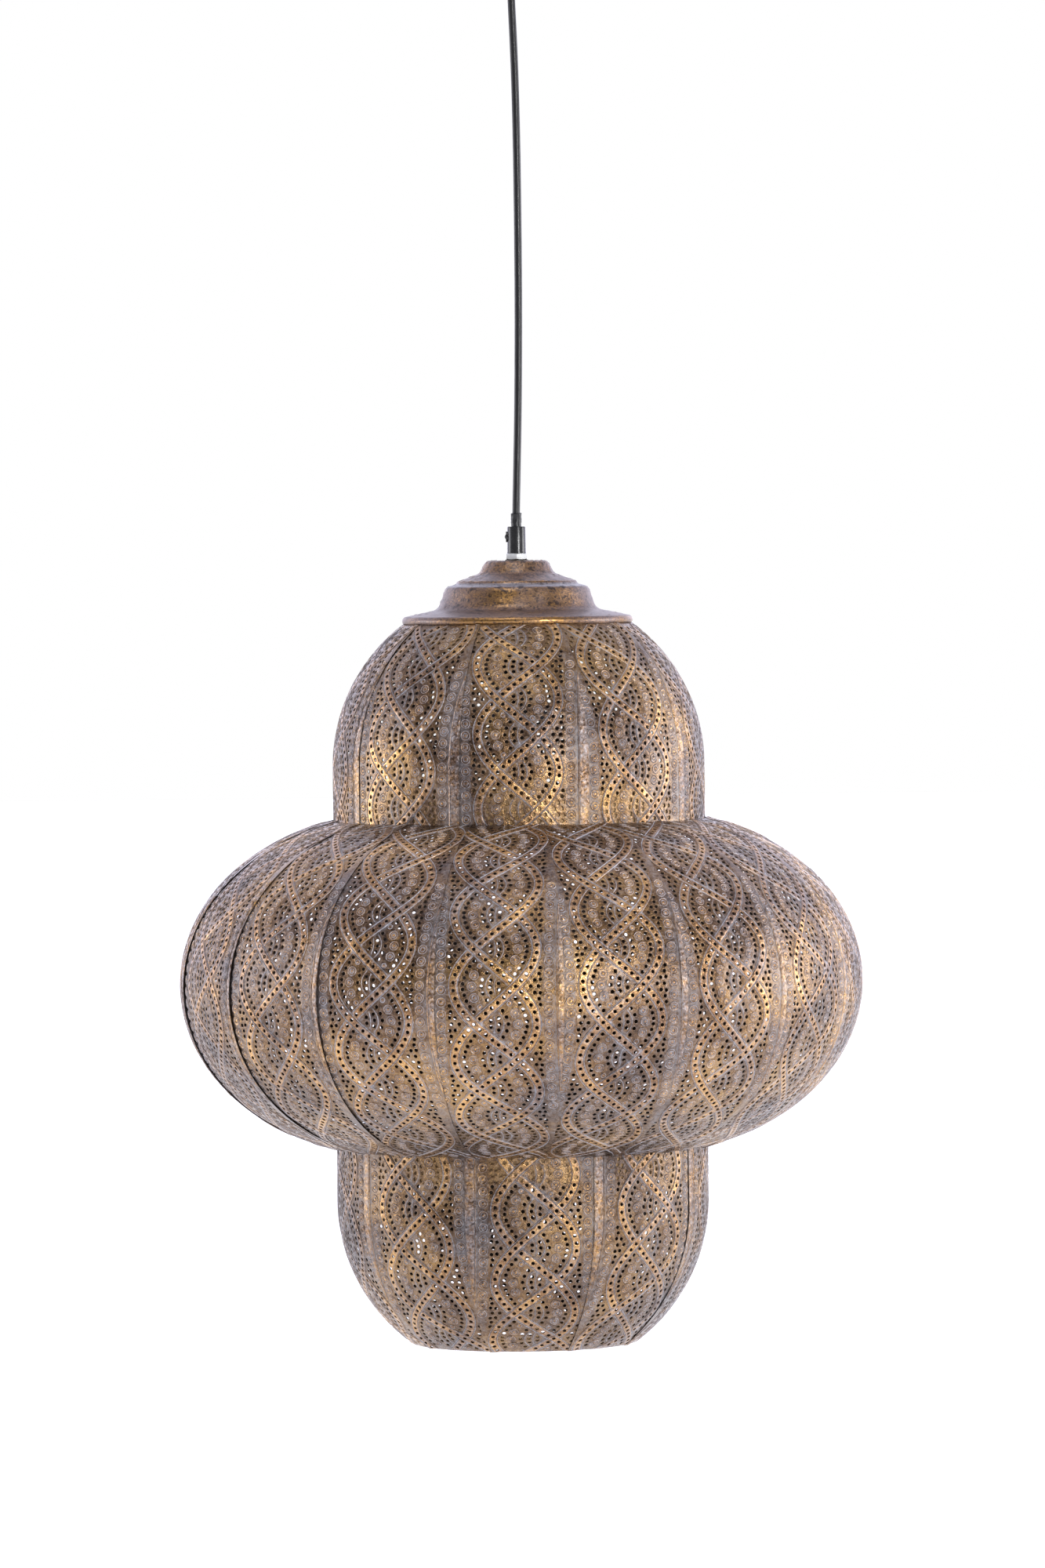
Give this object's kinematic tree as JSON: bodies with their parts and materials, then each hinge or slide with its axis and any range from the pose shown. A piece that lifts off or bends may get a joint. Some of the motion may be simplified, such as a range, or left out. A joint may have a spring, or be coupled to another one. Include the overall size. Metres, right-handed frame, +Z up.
{
  "type": "hanging lantern",
  "caption": "Hanging lantern of stamped, pierced brass strips in three tiers, bell, wide belly and open lower cup, under a spun cap on a round flex.",
  "frame": {"origin": "on the ceiling plane, in line with the cord, at the top face of the ceiling strap", "axes": "+Z up, out of the ceiling face; +X to the right of the lantern seen from its front, -Y towards the viewer"},
  "size_m": [0.501, 0.5005, 1.0518],
  "materials": {
    "pierced_brass": "stamped, pierced and patinated",
    "cap_bronze": "spun and mottled",
    "canopy_brass": "spun, aged",
    "ring_brass": "dull",
    "yellow_brass": "turned",
    "zinc_steel": "pale zinc plate",
    "dark_steel": "dark oiled",
    "black_plastic": "moulded, glossy",
    "cord_sheath": "smooth PVC",
    "holder_black": "moulded phenolic",
    "ceramic": "glazed steatite",
    "cream_plastic": "moulded"
  },
  "bodies": {
    "root": {"ceiling_strap": "zinc_steel", "canopy": "canopy_brass", "ceiling_screws": "zinc_steel", "ceiling_tube": "yellow_brass", "ceiling_nut": "zinc_steel", "ceiling_grip": "black_plastic", "terminal_block": "cream_plastic", "ceiling_tail": "cord_sheath"},
    "cord": {"cord": "cord_sheath"},
    "grip": {"cord_sleeve": "cord_sheath", "cord_grip": "black_plastic", "grip_screw": "black_plastic"},
    "lantern": {"tube_nuts": "zinc_steel", "lock_washer": "dark_steel", "threaded_tube": "yellow_brass", "cap": "cap_bronze", "crossbar": "ring_brass", "top_collar": "ring_brass", "joint_rings": "ring_brass", "mouth_collar": "ring_brass", "holder_cap": "holder_black", "holder_insert": "ceramic", "holder_contacts": "yellow_brass", "holder_ring": "holder_black", "lamp_tail": "cord_sheath", "upper_strip_1": "pierced_brass", "upper_strip_2": "pierced_brass", "upper_strip_3": "pierced_brass", "upper_strip_4": "pierced_brass", "upper_strip_5": "pierced_brass", "upper_strip_6": "pierced_brass", "upper_strip_7": "pierced_brass", "upper_strip_8": "pierced_brass", "upper_strip_9": "pierced_brass", "belly_strip_1": "pierced_brass", "belly_strip_2": "pierced_brass", "belly_strip_3": "pierced_brass", "belly_strip_4": "pierced_brass", "belly_strip_5": "pierced_brass", "belly_strip_6": "pierced_brass", "belly_strip_7": "pierced_brass", "belly_strip_8": "pierced_brass", "belly_strip_9": "pierced_brass", "belly_strip_10": "pierced_brass", "belly_strip_11": "pierced_brass", "belly_strip_12": "pierced_brass", "belly_strip_13": "pierced_brass", "belly_strip_14": "pierced_brass", "belly_strip_15": "pierced_brass", "belly_strip_16": "pierced_brass", "belly_strip_17": "pierced_brass", "lower_strip_1": "pierced_brass", "lower_strip_2": "pierced_brass", "lower_strip_3": "pierced_brass", "lower_strip_4": "pierced_brass", "lower_strip_5": "pierced_brass", "lower_strip_6": "pierced_brass", "lower_strip_7": "pierced_brass", "lower_strip_8": "pierced_brass", "lower_strip_9": "pierced_brass"}
  },
  "joints": [
    {"name": "cord_swing", "type": "hinge", "parent": "root", "child": "cord", "pos_m": [0, 0, -0.0516], "axis": [0, 1, 0], "range_deg": [-20, 20]},
    {"name": "lantern_tilt", "type": "hinge", "parent": "cord", "child": "grip", "pos_m": [0, 0, -0.4416], "axis": [1, 0, 0], "range_deg": [-15, 15]},
    {"name": "lantern_twist", "type": "hinge", "parent": "grip", "child": "lantern", "pos_m": [0, 0, -0.471], "axis": [0, 0, 1], "range_deg": [-180, 180]}
  ]
}
